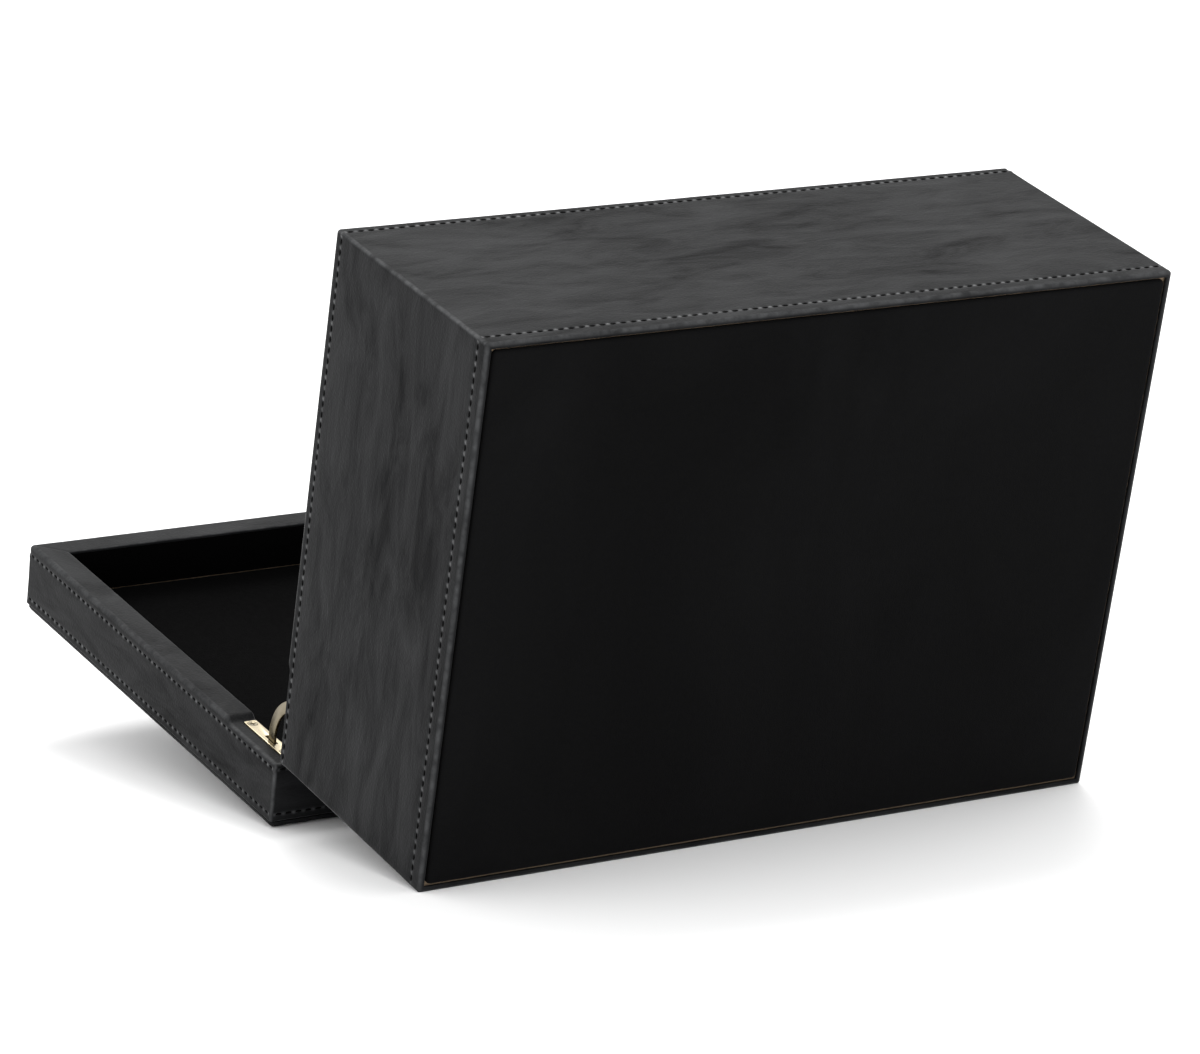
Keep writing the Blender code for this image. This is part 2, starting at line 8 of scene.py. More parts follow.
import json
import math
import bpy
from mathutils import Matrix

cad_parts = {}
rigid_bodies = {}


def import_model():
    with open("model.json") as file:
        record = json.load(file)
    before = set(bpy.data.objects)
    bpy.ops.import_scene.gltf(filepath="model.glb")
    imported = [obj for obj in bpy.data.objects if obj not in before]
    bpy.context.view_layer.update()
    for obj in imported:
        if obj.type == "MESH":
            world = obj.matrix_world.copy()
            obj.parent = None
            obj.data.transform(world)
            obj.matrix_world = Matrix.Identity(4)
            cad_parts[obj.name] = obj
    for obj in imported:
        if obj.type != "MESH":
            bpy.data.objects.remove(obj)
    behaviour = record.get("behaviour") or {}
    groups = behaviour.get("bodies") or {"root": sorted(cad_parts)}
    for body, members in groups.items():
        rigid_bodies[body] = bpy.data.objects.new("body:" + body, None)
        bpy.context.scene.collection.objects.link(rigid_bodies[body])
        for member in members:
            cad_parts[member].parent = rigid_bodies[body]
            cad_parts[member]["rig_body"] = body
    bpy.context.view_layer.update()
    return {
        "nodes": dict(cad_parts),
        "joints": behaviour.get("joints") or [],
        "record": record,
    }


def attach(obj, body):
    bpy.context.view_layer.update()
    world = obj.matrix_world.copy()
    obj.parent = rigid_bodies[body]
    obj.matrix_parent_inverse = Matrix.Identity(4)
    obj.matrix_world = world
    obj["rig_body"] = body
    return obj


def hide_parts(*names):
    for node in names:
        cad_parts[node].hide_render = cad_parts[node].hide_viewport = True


bl_info = {
    "name": "Stitched Jewellery Box",
    "version": (1, 0, 0),
    "blender": (4, 5, 0),
    "location": "3D View > Sidebar > Jewellery Box",
    "description": "Dresses a jewellery box frame in stitched leather, velvet and brass",
    "category": "Object",
}

import bmesh
import bpy
from mathutils import Matrix, Vector, noise

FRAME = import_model()
NODES = FRAME["nodes"]

# How the open box stands: the hinge axis and the turn of each half about it.
HINGE = next(joint for joint in FRAME["joints"] if joint["name"] == "lid_hinge")
BASE = next(mount for mount in FRAME["record"]["mounts"] if mount["name"] == "base")
PIVOT = Vector(HINGE["pos_m"])
BODY_TURN = math.atan2(BASE["axis"][1], -BASE["axis"][2])
LID_TURN = BODY_TURN - math.radians(HINGE["range_deg"][1])
TURNS = {"box_body": BODY_TURN, "lid": LID_TURN}
STANDS = {
    body: Matrix.Translation(PIVOT) @ Matrix.Rotation(turn, 4, "X")
    for body, turn in TURNS.items()
}
WALLS = ("left", "right", "front", "back")
SIDES = ("left", "right")


def own_box(body, *nodes):
    """Return the corners of CAD nodes in the shut box's own frame."""
    back = STANDS[body].inverted()
    points = [back @ vertex.co for node in nodes for vertex in NODES[node].data.vertices]
    low = Vector(min(point[axis] for point in points) for axis in range(3))
    high = Vector(max(point[axis] for point in points) for axis in range(3))
    return low, high


# What the frame says about the shut box, in its own frame.
BODY_LOW, BODY_HIGH = own_box("box_body", *(f"body_leather_{wall}" for wall in WALLS))
LID_LOW, LID_HIGH = own_box("lid", *(f"lid_leather_{wall}" for wall in WALLS))
LID_TOP_LOW, LID_TOP_HIGH = own_box("lid", "lid_top_leather")
HALF_X = BODY_HIGH.x
HALF_Y = (BODY_HIGH.y - BODY_LOW.y) / 2
MIDDLE = Vector((0.0, (BODY_HIGH.y + BODY_LOW.y) / 2))
RIM_WIDTH = HALF_X + own_box("box_body", "body_lining_left")[1].x

# The smallest radius of a fold or of a plan's corner, and the steps round such a corner.
LEAST_RADIUS = 0.00035
CORNER_STEPS = 5
# Points that lie nearer than this are one point, and folds past this angle show as edges.
SAME_POINT = 1e-6
SHARP_ANGLE = math.radians(40.0)

# The leather: its glue line, and where its section has levels on the rim and about a row.
GLUE = 0.00015
RIM_SHARES = (0.82, 0.68, 0.54, 0.40, 0.28)
ROW_STEPS = (-0.0017, -0.0011, -0.0007, -0.00035, 0.0, 0.00035, 0.0007, 0.0011, 0.0017)
WALL_STEP = 0.0095
LID_LIP = 0.0032
RIPPLE_SIZE = 0.024
# Where the rim's step for a hinge runs out: along the rim, across it, and down the wall.
DROP_END = 0.0030
DROP_ACROSS = (0.0033, 0.0008)
DROP_DEPTH = 0.0042
# How far from its row a stitch pulls the leather: near and deep, wide and shallow.
NEAR_PULL = 0.00062
WIDE_PULL = 0.0013
# The ridge and the dip where leather gathers at an upright corner: (depth, spread, rise).
GATHERS = ((0.0052, 0.0011, 0.00028), (0.0033, 0.0007, -0.000224))
# The size of the blotches in the painted highlight along the upright corners.
RUB_AND_HIGHLIGHT_SIZE = 0.004
MITRE_WIDTH = 0.0009
MITRE_DEPTH = 0.00016

# A stitch: how blunt its ends are, how far they dive, how it is sunk and how it slants.
STITCH_BLUNT = 0.7
STITCH_DIVE = 0.40
STITCH_SINK = 0.7
STITCH_SLANT = 0.055

# A hinge pocket: its slack and depth, its reach past the rim and the back, and the part near it.
POCKET_SLACK = 0.0002
POCKET_DEPTH = 0.0036
POCKET_OVER = 0.001
POCKET_BACK = 0.004
POCKET_SURROUND = 0.006

# Padded panels: the length of an edge, how near the middle the rings stop, and how many.
PANEL_STEP = 0.005
PANEL_HEART = 0.014
CROWN_STEPS = 14
PAD_FLANGE = 0.003
PAD_REACH = 0.02
SEAM_INSETS = (0.0050, 0.0022, 0.0009)
SEAM_TUCK = 0.000125

# A ring roll: its sides, its rings, the share of its radius that its ends round, its padding.
ROLL_SIDES = 40
ROLL_RINGS = 44
ROLL_END = 0.42
ROLL_PULL = 0.00022
ROLL_TUCK = 0.00045

# The widths of the hinges' softened edges.
HINGE_EDGES = {"arm": 0.00018, "pin": 0.00012, "leaf": 0.00016, "screw": 0.00008}

# The studio: half the floor's width, and how wide the overhead light is and where it stands.
FLOOR_REACH = 15.0
KEY_WIDTH = math.radians(26.0)
KEY_FROM = Vector((0.30, 0.45, 1.0))


def length(name, description, default, low, high):
    """Return a setting that holds a length."""
    return bpy.props.FloatProperty(
        name=name, description=description, default=default, min=low, max=high, unit="LENGTH"
    )


class BoxSizes(bpy.types.PropertyGroup):
    """Sizes of the sewing, folds and padding."""

    pitch: length("Stitch pitch", "Distance from one stitch to the next", 0.0043, 0.002, 0.01)
    thread: length("Thread", "Thickness of the sewing thread", 0.00086, 0.0002, 0.002)
    stitch_share: bpy.props.FloatProperty(
        name="Stitch share", description="Share of the pitch that a stitch shows on the face",
        default=0.74, min=0.2, max=0.95, subtype="FACTOR",
    )
    leather: length("Leather", "Thickness of the leather covering", 0.0012, 0.0005, 0.003)
    corner: length("Corner radius", "Radius of the upright corners", 0.0015, 0.0005, 0.01)
    rim_radius: length("Rim radius", "Radius of the rim's outer edge", 0.0021, 0.001, 0.01)
    turned_edge: length(
        "Turned edge", "Radius of the leather's turned edge inside the rim", 0.0007, 0.0002, 0.0011
    )
    foot_radius: length("Foot radius", "Radius of the fold under the body", 0.0016, 0.0005, 0.01)
    foot_lip: length(
        "Foot lip", "How far the leather folds in under the body", 0.0024, 0.001, 0.01
    )
    seam_radius: length(
        "Seam radius", "Radius of the fold at the lid's seam", 0.0006, 0.0002, 0.002
    )
    body_rim_row: length(
        "Body rim row", "From the body's rim to its upper row of stitches", 0.0046, 0.002, 0.02
    )
    body_foot_row: length(
        "Body foot row", "From the body's foot to its lower row of stitches", 0.0062, 0.002, 0.02
    )
    lid_rim_row: length(
        "Lid rim row", "From the lid's rim to the row of stitches by it", 0.0044, 0.002, 0.02
    )
    lid_top_row: length(
        "Lid top row", "From the lid's top to the row of stitches by it", 0.0069, 0.002, 0.02
    )
    groove: length("Groove", "How deep a stitch pulls the leather down", 0.00042, 0.0, 0.001)
    ripple: length("Ripple", "Height of the leather's faint unevenness", 0.00006, 0.0, 0.001)
    hinge_drop: length("Hinge drop", "How far the rim steps down for a hinge", 0.0020, 0.0, 0.004)
    hinge_drop_length: length(
        "Hinge drop length", "Length of the lowered rim, from the back face", 0.0390, 0.02, 0.08
    )
    lid_roll: length("Lid roll", "Radius of the lid's padded top edge", 0.0052, 0.002, 0.01)
    lid_crown: length(
        "Lid crown", "How far the padding lifts the middle of the lid's top", 0.0009, 0.0, 0.004
    )
    pad_crown: length(
        "Pad crown", "How far the padding lifts the middle of a velvet floor", 0.0005, 0.0, 0.003
    )
    pad_gap: length(
        "Base pad gap", "Width of the crease round the velvet base", 0.0006, 0.0, 0.002
    )
    pad_edge: length("Pad edge", "Radius of a velvet pad's edge", 0.0013, 0.0003, 0.003)


class BoxColours(bpy.types.PropertyGroup):
    """Colours of the coverings, metal and boards."""

    leather: bpy.props.FloatVectorProperty(
        name="Leather", description="Colour of the leather", subtype="COLOR", size=3,
        default=(0.0085, 0.0088, 0.0094), min=0.0, max=1.0,
    )
    # Lighter leather colour laid on folds, upright corners and between stitches: painted highlight there,
    # partly also rubbing.
    leather_worn_and_highlight: bpy.props.FloatVectorProperty(
        name="Worn leather", description="Colour of rubbed leather edges", subtype="COLOR",
        size=3, default=(0.075, 0.077, 0.080), min=0.0, max=1.0,
    )
    velvet: bpy.props.FloatVectorProperty(
        name="Velvet", description="Colour of the velvet pile", subtype="COLOR", size=3,
        default=(0.0027, 0.0027, 0.0028), min=0.0, max=1.0,
    )
    velvet_nap: bpy.props.FloatVectorProperty(
        name="Velvet nap", description="Colour of the velvet where its pile leans",
        subtype="COLOR", size=3, default=(0.0046, 0.0046, 0.0048), min=0.0, max=1.0,
    )
    thread: bpy.props.FloatVectorProperty(
        name="Thread", description="Colour of the thread", subtype="COLOR", size=3,
        default=(0.0012, 0.0012, 0.0012), min=0.0, max=1.0,
    )
    brass: bpy.props.FloatVectorProperty(
        name="Brass", description="Colour of the hinges", subtype="COLOR", size=3,
        default=(0.40, 0.345, 0.235), min=0.0, max=1.0,
    )
    tarnish: bpy.props.FloatVectorProperty(
        name="Tarnish", description="Colour of tarnished brass", subtype="COLOR", size=3,
        default=(0.13, 0.10, 0.055), min=0.0, max=1.0,
    )
    board: bpy.props.FloatVectorProperty(
        name="Board", description="Colour of the fibreboard", subtype="COLOR", size=3,
        default=(0.36, 0.26, 0.17), min=0.0, max=1.0,
    )
    foam: bpy.props.FloatVectorProperty(
        name="Foam", description="Colour of the foam", subtype="COLOR", size=3,
        default=(0.12, 0.12, 0.125), min=0.0, max=1.0,
    )
    floor: bpy.props.FloatVectorProperty(
        name="Floor", description="Colour of the floor", subtype="COLOR", size=3,
        default=(0.965, 0.965, 0.965), min=0.0, max=1.0,
    )


class StudioSettings(bpy.types.PropertyGroup):
    """Camera and light."""

    azimuth: bpy.props.FloatProperty(
        name="Azimuth", description="The camera's turn about the box",
        default=math.radians(-31.44), subtype="ANGLE",
    )
    elevation: bpy.props.FloatProperty(
        name="Elevation", description="The camera's angle above the floor",
        default=math.radians(10.85), subtype="ANGLE",
    )
    roll: bpy.props.FloatProperty(
        name="Roll", description="The camera's turn about its line of sight",
        default=math.radians(-0.74), subtype="ANGLE",
    )
    distance: bpy.props.FloatProperty(
        name="Distance", description="From the camera to the point it looks at",
        default=2.0950, min=0.5, unit="LENGTH",
    )
    target: bpy.props.FloatVectorProperty(
        name="Target", description="The point looked at, from the middle of the hinge axis",
        default=(0.00035, 0.00705, 0.07239), size=3, subtype="TRANSLATION",
    )
    lens: bpy.props.FloatProperty(
        name="Lens", description="Focal length in millimetres", default=159.64, min=10.0,
    )
    sky: bpy.props.FloatProperty(
        name="Sky", description="Strength of the even white light", default=1.43, min=0.0,
    )
    key: bpy.props.FloatProperty(
        name="Key", description="Strength of the broad overhead light", default=1.3, min=0.0,
    )


def sizes():
    """Return the sizes in use."""
    return bpy.context.scene.jewellery_sizes


def colours():
    """Return the colours in use."""
    return bpy.context.scene.jewellery_colours


# Materials.


class Look:
    """A material's nodes, wired with a few words each."""

    def __init__(self, name, turn=0.0):
        self.material = bpy.data.materials.new(name)
        self.material.use_nodes = True
        self.tree = self.material.node_tree
        self.shader = self.tree.nodes["Principled BSDF"]
        place = self.add("ShaderNodeTexCoord").outputs["Object"]
        self.place = self.map(place, turn=(-turn, 0.0, 0.0))

    def add(self, kind, inputs=(), **settings):
        """Add a node, with its settings and its inputs by name or number."""
        node = self.tree.nodes.new(kind)
        for name, value in settings.items():
            setattr(node, name, value)
        for name, value in dict(inputs).items():
            self.set(node.inputs[name], value)
        return node

    def set(self, socket, value):
        """Link an output to a socket, or set the socket's own value."""
        if isinstance(value, bpy.types.NodeSocket):
            self.tree.links.new(value, socket)
        else:
            socket.default_value = value

    def map(self, place, turn=(0.0, 0.0, 0.0), scale=(1.0, 1.0, 1.0)):
        """Turn and stretch a pattern's coordinates."""
        inputs = {"Vector": place, "Rotation": turn, "Scale": scale}
        return self.add("ShaderNodeMapping", inputs).outputs["Vector"]

    def noise(self, scale, detail=3.0, roughness=0.55, distortion=0.0, place=None):
        """Return a cloudy pattern from nought to one."""
        inputs = {
            "Vector": place or self.place,
            "Scale": scale,
            "Detail": detail,
            "Roughness": roughness,
            "Distortion": distortion,
        }
        return self.add("ShaderNodeTexNoise", inputs).outputs["Fac"]

    def cells(self, scale, feature="F1", place=None):
        """Return the distances of a cell pattern."""
        inputs = {"Vector": place or self.place, "Scale": scale}
        return self.add("ShaderNodeTexVoronoi", inputs, feature=feature).outputs["Distance"]

    def math(self, operation, first, second=0.0, third=0.0):
        """Return the result of a sum."""
        inputs = {0: first, 1: second, 2: third}
        return self.add("ShaderNodeMath", inputs, operation=operation).outputs[0]

    def range(self, value, low, high, to_low=0.0, to_high=1.0):
        """Return a value carried from one range to another."""
        inputs = {
            "Value": value,
            "From Min": low,
            "From Max": high,
            "To Min": to_low,
            "To Max": to_high,
        }
        return self.add("ShaderNodeMapRange", inputs).outputs["Result"]

    def mix(self, share, first, second):
        """Return a blend of two colours."""
        inputs = {"Factor": share}
        node = self.add("ShaderNodeMix", inputs, data_type="RGBA")
        self.set(node.inputs[6], first)
        self.set(node.inputs[7], second)
        return node.outputs[2]

    def attribute(self, name):
        """Return a number painted on the piece."""
        return self.add("ShaderNodeAttribute", attribute_name=name).outputs["Fac"]

    def bump(self, height, strength, distance):
        """Raise the surface by a pattern."""
        inputs = {"Height": height, "Strength": strength, "Distance": distance}
        return self.add("ShaderNodeBump", inputs).outputs["Normal"]

    def finish(self, colour, roughness, normal, **uniform):
        """Wire the shader and set its uniform values on its own sockets."""
        self.set(self.shader.inputs["Base Color"], colour)
        self.set(self.shader.inputs["Roughness"], roughness)
        self.set(self.shader.inputs["Normal"], normal)
        for name, value in uniform.items():
            self.set(self.shader.inputs[name.replace("_", " ")], value)
        return self.material


def shade(colour, factor=1.0):
    """Return a colour made lighter or darker, with its alpha."""
    return tuple(min(1.0, channel * factor) for channel in colour) + (1.0,)


def leather_look(name, turn):
    """Fine-grained matt leather, mottled, lighter along its folds, upright corners and between stitches
    as painted highlight and partly as rubbing.
    """
    look = Look(name, turn)
    slant = look.map(look.place, turn=(0.0, 0.0, math.radians(28.0)), scale=(0.5, 0.5, 1.9))
    mottle = look.noise(46.0, 7.0, 0.66, 0.8, place=slant)
    cloud = look.noise(9.0, 3.0, 0.5, 0.4)
    pebble = look.cells(1150.0, "SMOOTH_F1")
    pores = look.noise(820.0, 3.0, 0.6)
    creases = look.noise(150.0, 5.0, 0.6, 1.2, place=slant)
    # The painted mask below lightens the leather along folds, upright corners and between stitches as
    # painted highlight, partly also rubbing; it also lowers roughness and raises the specular there.
    wear_and_highlight = look.attribute("wear_and_highlight")
    rubbed_and_highlit = look.math("MULTIPLY", wear_and_highlight, look.range(look.noise(260.0, 4.0), 0.35, 0.65, 0.35, 1.0))
    tone = look.math("ADD", look.math("MULTIPLY", mottle, 0.7), look.math("MULTIPLY", cloud, 0.3))
    base = colours().leather
    colour = look.mix(look.range(tone, 0.34, 0.68), shade(base, 0.50), shade(base, 1.62))
    colour = look.mix(look.math("MULTIPLY", rubbed_and_highlit, 0.9), colour, shade(colours().leather_worn_and_highlight))
    rough = look.range(look.math("ADD", tone, look.math("MULTIPLY", pores, 0.4)), 0.45, 1.0, 0.47, 0.60)
    rough = look.math("SUBTRACT", rough, look.math("MULTIPLY", rubbed_and_highlit, 0.18))
    height = look.math("MULTIPLY", pebble, 0.5)
    height = look.math("ADD", height, look.math("MULTIPLY", pores, 0.45))
    height = look.math("ADD", height, look.math("MULTIPLY", creases, 0.9))
    normal = look.bump(height, 0.55, 0.0003)
    shine = look.range(tone, 0.36, 0.66, 0.022, 0.095)
    shine = look.math("ADD", shine, look.math("MULTIPLY", rubbed_and_highlit, 0.22))
    return look.finish(colour, rough, normal, Specular_IOR_Level=shine)


def velvet_look(name, turn, depth, sheen):
    """Short black pile that darkens and lightens as it leans."""
    look = Look(name, turn)
    brushed = look.map(look.place, turn=(0.0, 0.0, math.radians(-24.0)), scale=(1.0, 0.5, 1.0))
    nap = look.noise(13.0, 5.0, 0.6, 0.9, place=brushed)
    pile = look.noise(2100.0, 2.0, 0.7)
    tuft = look.noise(420.0, 3.0, 0.6)
    share = look.math("ADD", look.math("MULTIPLY", nap, 0.6), look.math("MULTIPLY", pile, 0.4))
    share = look.range(share, 0.36, 0.66)
    # depth darkens this velvet as painted shade: the linings inside the body and the lid are darker
    # copies of one velvet, with less sheen.
    colour = look.mix(share, shade(colours().velvet, depth), shade(colours().velvet_nap, depth))
    rough = look.range(tuft, 0.3, 0.7, 0.9, 1.0)
    height = look.math("ADD", pile, look.math("MULTIPLY", tuft, 0.6))
    normal = look.bump(height, 0.55, 0.00035)
    return look.finish(
        colour, rough, normal,
        Specular_IOR_Level=0.03, Sheen_Weight=sheen, Sheen_Roughness=0.45,
        Sheen_Tint=(0.72, 0.73, 0.76, 1.0),
    )


def brass_look(name, depth, aged):
    """Satin brass with brushing and a little tarnish."""
    look = Look(name)
    lines = look.noise(900.0, 3.0, 0.6, place=look.map(look.place, scale=(1.0, 0.06, 0.06)))
    age = look.noise(160.0, 4.0, 0.6, 0.6)
    spots = look.range(age, 0.50, 0.72)
    colour = look.mix(
        look.math("MULTIPLY", spots, aged), shade(colours().brass, depth), shade(colours().tarnish, depth)
    )
    rough = look.range(look.math("ADD", lines, age), 0.7, 1.35, 0.24, 0.42)
    normal = look.bump(lines, 0.25, 0.00008)
    return look.finish(colour, rough, normal, Metallic=1.0)


def board_look(name):
    """Raw fibreboard: flecked and slightly furry."""
    look = Look(name)
    fleck = look.noise(900.0, 4.0, 0.7)
    cloud = look.noise(40.0, 3.0)
    tone = look.math("ADD", look.math("MULTIPLY", fleck, 0.6), look.math("MULTIPLY", cloud, 0.4))
    base = colours().board
    colour = look.mix(look.range(tone, 0.35, 0.65), shade(base, 0.7), shade(base, 1.2))
    normal = look.bump(fleck, 0.4, 0.0003)
    return look.finish(colour, look.range(fleck, 0.3, 0.7, 0.8, 0.95), normal)


def foam_look(name):
    """Open-celled grey foam."""
    look = Look(name)
    cells = look.cells(1400.0)
    cloud = look.noise(60.0)
    base = colours().foam
    colour = look.mix(look.range(cells, 0.0, 0.7), shade(base, 0.55), shade(base, 1.25))
    normal = look.bump(look.math("ADD", cells, look.math("MULTIPLY", cloud, 0.3)), 0.6, 0.0004)
    return look.finish(colour, look.range(cloud, 0.3, 0.7, 0.88, 0.98), normal)


def thread_look(name):
    """Twisted black thread."""
    look = Look(name)
    twist = look.noise(2600.0, 2.0, 0.5)
    base = colours().thread
    colour = look.mix(look.range(twist, 0.35, 0.65), shade(base, 0.6), shade(base, 1.8))
    normal = look.bump(twist, 0.5, 0.0001)
    return look.finish(colour, look.range(twist, 0.3, 0.7, 0.62, 0.8), normal, Specular_IOR_Level=0.06)


def floor_look(name):
    """Plain pale paper."""
    look = Look(name)
    cloud = look.noise(3.0, 2.0)
    base = colours().floor
    colour = look.mix(cloud, shade(base, 0.995), shade(base, 1.005))
    normal = look.bump(look.noise(600.0), 0.05, 0.0002)
    return look.finish(colour, look.range(cloud, 0.3, 0.7, 0.82, 0.86), normal, Specular_IOR_Level=0.2)


LOOKS = {}


def look_of(name):
    """Return a look by its name, made when first asked for."""
    makers = {
        "body_leather": lambda: leather_look("black_leather_body", BODY_TURN),
        "lid_leather": lambda: leather_look("black_leather_lid", LID_TURN),
        "base_velvet": lambda: velvet_look("base_velvet", BODY_TURN, 1.0, 0.02),
        # Inside the body and the lid the velvet is drawn darker, with less sheen, as painted shade: 0.55
        # and 0.25 of the base velvet's colour.
        "body_velvet": lambda: velvet_look("body_velvet_painted_shade", BODY_TURN, 0.55, 0.008),
        "lid_velvet": lambda: velvet_look("lid_velvet_painted_deep_shade", LID_TURN, 0.25, 0.003),
        # The arms' and the screws' brass is drawn darker than the leaves' (0.50 and 0.62 against 1.15),
        # with more tarnish spots.
        "brass": lambda: brass_look("satin_brass", 1.15, 0.35),
        "arm_brass": lambda: brass_look("darker_tarnished_arm_brass", 0.50, 0.7),
        "screw_brass": lambda: brass_look("darker_tarnished_screw_brass", 0.62, 0.95),
        "board": lambda: board_look("raw_fibreboard"),
        "foam": lambda: foam_look("grey_foam"),
        "thread": lambda: thread_look("black_thread"),
        "floor": lambda: floor_look("pale_floor"),
    }
    if name not in LOOKS:
        LOOKS[name] = makers[name]()
    return LOOKS[name]


# Pieces.


def make_piece(name, bm, look, body, replaced=(), stand=True):
    """Turn a drawn form into a piece that rides on a body."""
    mesh = bpy.data.meshes.new(name)
    bm.to_mesh(mesh)
    bm.free()
    if stand:
        mesh.transform(STANDS[body])
    mesh.materials.append(look_of(look))
    mesh.polygons.foreach_set("use_smooth", [True] * len(mesh.polygons))
    mesh.set_sharp_from_angle(angle=SHARP_ANGLE)
    mesh.update()
    piece = bpy.data.objects.new(name, mesh)
    bpy.context.scene.collection.objects.link(piece)
    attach(piece, body)
    if replaced:
        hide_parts(*replaced)
    return piece


def core_point(home, corner):
    """Return the nearest point of the plan's core, inside its rounded corners."""
    reach_x = HALF_X - corner
    reach_y = HALF_Y - corner
    return Vector((max(-reach_x, min(reach_x, home.x)), max(-reach_y, min(reach_y, home.y))))


def plan_point(home, inset, corner, radius):
    """Move a point of the outer plan to the plan set in by inset, with corners of radius."""
    core = core_point(home, corner)
    out = (home - core).normalized()
    near = Vector((
        core.x * (HALF_X - inset - radius) / (HALF_X - corner),
        core.y * (HALF_Y - inset - radius) / (HALF_Y - corner),
    ))
    return near + out * radius, out


def start_ring(bm, corner, across, deep):
    """Draw the outer plan as one ring of edges; across and deep count the edges of its sides."""
    corners = [
        bm.verts.new((x * HALF_X, y * HALF_Y, 0.0))
        for x, y in ((-1, -1), (1, -1), (1, 1), (-1, 1))
    ]
    bm.faces.new(corners)
    bmesh.ops.bevel(
        bm, geom=corners, offset=corner, offset_type="OFFSET", segments=CORNER_STEPS,
        profile=0.5, affect="VERTICES", material=-1,
    )
    bmesh.ops.delete(bm, geom=list(bm.faces), context="FACES_ONLY")
    for axis, count in ((0, across), (1, deep)):
        long_edges = [
            edge for edge in bm.edges
            if abs(edge.verts[0].co[axis] - edge.verts[1].co[axis]) > 4 * corner
        ]
        bmesh.ops.subdivide_edges(bm, edges=long_edges, cuts=count - 1)
    layer = bm.verts.layers.float_vector.new("home")
    for vert in bm.verts:
        vert[layer] = vert.co
    return layer, list(bm.edges)


def ring_verts(ring):
    """Return the points of a ring of edges."""
    return list(dict.fromkeys(vert for edge in ring for vert in edge.verts))


def sweep(bm, layer, ring, levels, place):
    """Draw a ring through levels, setting its points by place(point, home, level)."""
    rings = []
    for number, level in enumerate(levels):
        if number:
            made = bmesh.ops.extrude_edge_only(bm, edges=ring)["geom"]
            fresh = {item for item in made if isinstance(item, bmesh.types.BMVert)}
            ring = [
                item for item in made
                if isinstance(item, bmesh.types.BMEdge) and fresh.issuperset(item.verts)
            ]
        for vert in ring_verts(ring):
            vert.co = place(vert, Vector(vert[layer][:2]), level)
        rings.append(ring)
    return rings


def quarter(inset, depth, radius, start, end, steps):
    """Return (inset, depth) levels round an edge; 0 degrees is the rim, 90 the wall."""
    angles = [math.radians(start + (end - start) * step / steps) for step in range(steps + 1)]
    return [
        (inset - radius * math.sin(angle), depth - radius * math.cos(angle)) for angle in angles
    ]


def smooth_step(value, low, high):
    """Rise smoothly from nought at low to one at high."""
    share = max(0.0, min(1.0, (value - low) / (high - low)))
    return share * share * (3 - 2 * share)


def ripple(point, size, height):
    """Return a faint unevenness of the surface at a point."""
    return height * noise.noise(point / size) + height * 0.35 * noise.noise(point / size * 3.7)


def hinge_drop(x, y):
    """Return how far the rim has stepped down for a hinge, from nought to one."""
    length = sizes().hinge_drop_length
    start, end = (HALF_X - RIM_WIDTH - reach for reach in DROP_ACROSS)
    return smooth_step(y, -length - DROP_END, -length) * smooth_step(abs(x), start, end)


def stitch_counts():
    """Return how many stitches lie along the front and along a side."""
    corner = sizes().corner
    return (
        round((HALF_X - corner) * 2 / sizes().pitch),
        round((HALF_Y - corner) * 2 / sizes().pitch),
    )


def sewn(home, out, off_row):
    """Return how deep the nearest row pulls the leather in, and how much painted highlight lies on the
    raised leather between its stitches.
    """
    corner = sizes().corner
    across, deep = stitch_counts()
    if abs(out.x) > 0.01 and abs(out.y) > 0.01:
        return 0.0, 0.0
    if abs(out.x) > 0.5:
        turns = (home.y + HALF_Y - corner) / (2 * (HALF_Y - corner)) * deep
    else:
        turns = (home.x + HALF_X - corner) / (2 * (HALF_X - corner)) * across
    along = 0.5 - 0.5 * math.cos(2 * math.pi * turns)
    near = math.exp(-((off_row / NEAR_PULL) ** 2))
    wide = math.exp(-((off_row / WIDE_PULL) ** 2))
    pull = sizes().groove * (near * (0.95 * along - 0.22) + wide * 0.28)
    # The second value is painted highlight on the raised leather, strongest halfway between two stitches.
    return pull, near * (1.0 - along) ** 2


def wall_lie(point, home, out, rows):
    """Return how far a wall's leather is pushed out at a point, and how much lighter colour is painted
    there: painted highlight at upright corners and between stitches, partly also rubbing.
    """
    pull, stitch_highlight = sewn(home, out, min(abs(point.z - row) for row in rows))
    upright = 2 * abs(out.x * out.y)
    gather = upright * sum(
        rise * math.exp(-(((point.z - depth) / spread) ** 2)) for depth, spread, rise in GATHERS
    )
    # Painted highlight along the upright corners, partly also rubbing.
    rubbed_and_highlit = upright**2 * (0.75 + 0.25 * noise.noise(point / RUB_AND_HIGHLIGHT_SIZE))
    return gather - pull, max(rubbed_and_highlit, stitch_highlight)


def mitre_crease(plan):
    """Return how near a point of the rim is to a corner's mitre, from nought to one."""
    off = abs(abs(plan.x) - HALF_X - (abs(plan.y - MIDDLE.y) - HALF_Y))
    return math.exp(-((off / MITRE_WIDTH) ** 2))


def rub_and_highlight(levels, wear_and_highlight):
    """Return a fold's levels as (inset, depth, share of lighter colour), the lighter colour painted most
    along the fold's middle as highlight, partly also as rubbing.
    """
    last = len(levels) - 1
    return [(*level, wear_and_highlight * math.sin(math.pi * part / last)) for part, level in enumerate(levels)]


